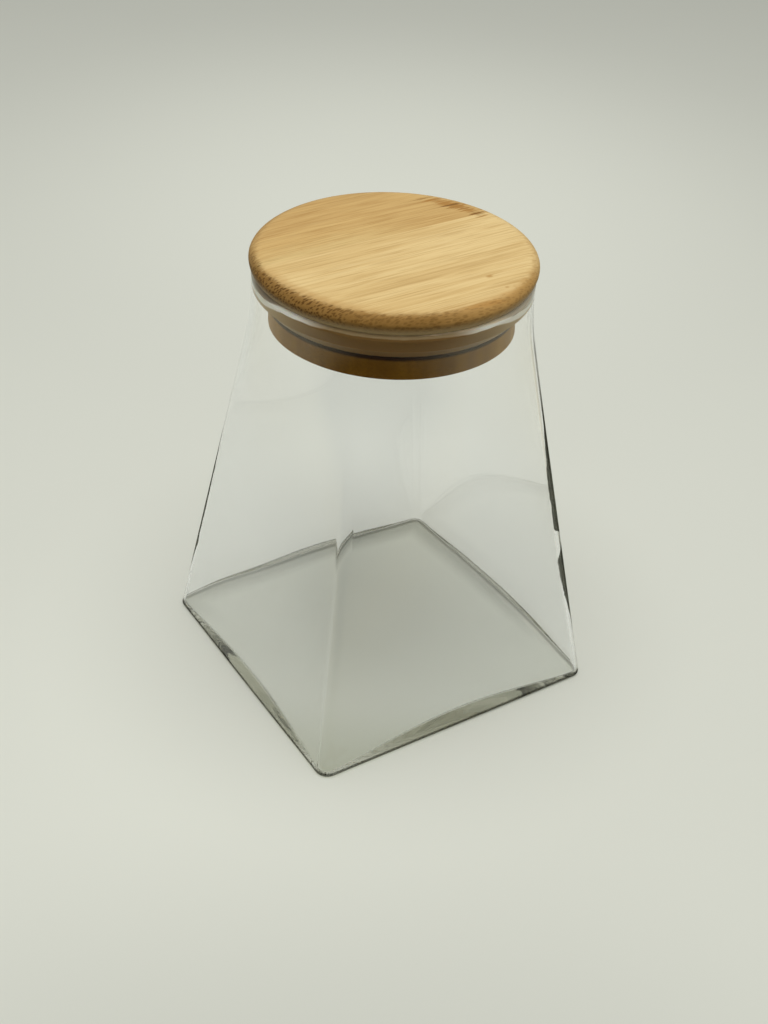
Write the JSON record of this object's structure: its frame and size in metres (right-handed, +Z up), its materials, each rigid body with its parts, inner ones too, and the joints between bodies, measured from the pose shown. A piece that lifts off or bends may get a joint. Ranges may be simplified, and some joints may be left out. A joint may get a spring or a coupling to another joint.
{
  "type": "glass jar with bamboo lid",
  "caption": "Clear glass storage jar with a square foot, walls sloping in to a round neck, and a lift-off turned bamboo lid with a silicone seal.",
  "frame": {"origin": "middle of the square foot, on the table", "axes": "+Z up along the neck's axis; X and Y along the foot's sides; the bamboo's grain runs along Y"},
  "size_m": [0.1018, 0.1018, 0.147],
  "materials": {
    "glass": "clear, polished",
    "silicone": "milky, soft matte",
    "amber_bamboo": "satin oiled, fine straight grain",
    "pale_bamboo": "satin oiled, fine straight grain",
    "plug_bamboo": "satin, turned"
  },
  "bodies": {
    "jar": {"glass_body": "glass"},
    "seal": {"silicone_seal": "silicone"},
    "lid": {"lid_plug": "plug_bamboo", "lid_strip_01": "amber_bamboo", "lid_strip_02": "amber_bamboo", "lid_strip_03": "amber_bamboo", "lid_strip_04": "amber_bamboo", "lid_strip_05": "amber_bamboo", "lid_strip_06": "pale_bamboo", "lid_strip_07": "pale_bamboo", "lid_strip_08": "pale_bamboo", "lid_strip_09": "pale_bamboo", "lid_strip_10": "pale_bamboo", "lid_strip_11": "pale_bamboo", "lid_strip_12": "pale_bamboo"}
  },
  "joints": [
    {"name": "lid_lift", "type": "slide", "parent": "jar", "child": "seal", "axis": [0, 0, 1], "range_m": [0, 0.06]},
    {"name": "lid_turn", "type": "hinge", "parent": "seal", "child": "lid", "pos_m": [0, 0, 0.1413], "axis": [0, 0, 1], "continuous": true}
  ]
}
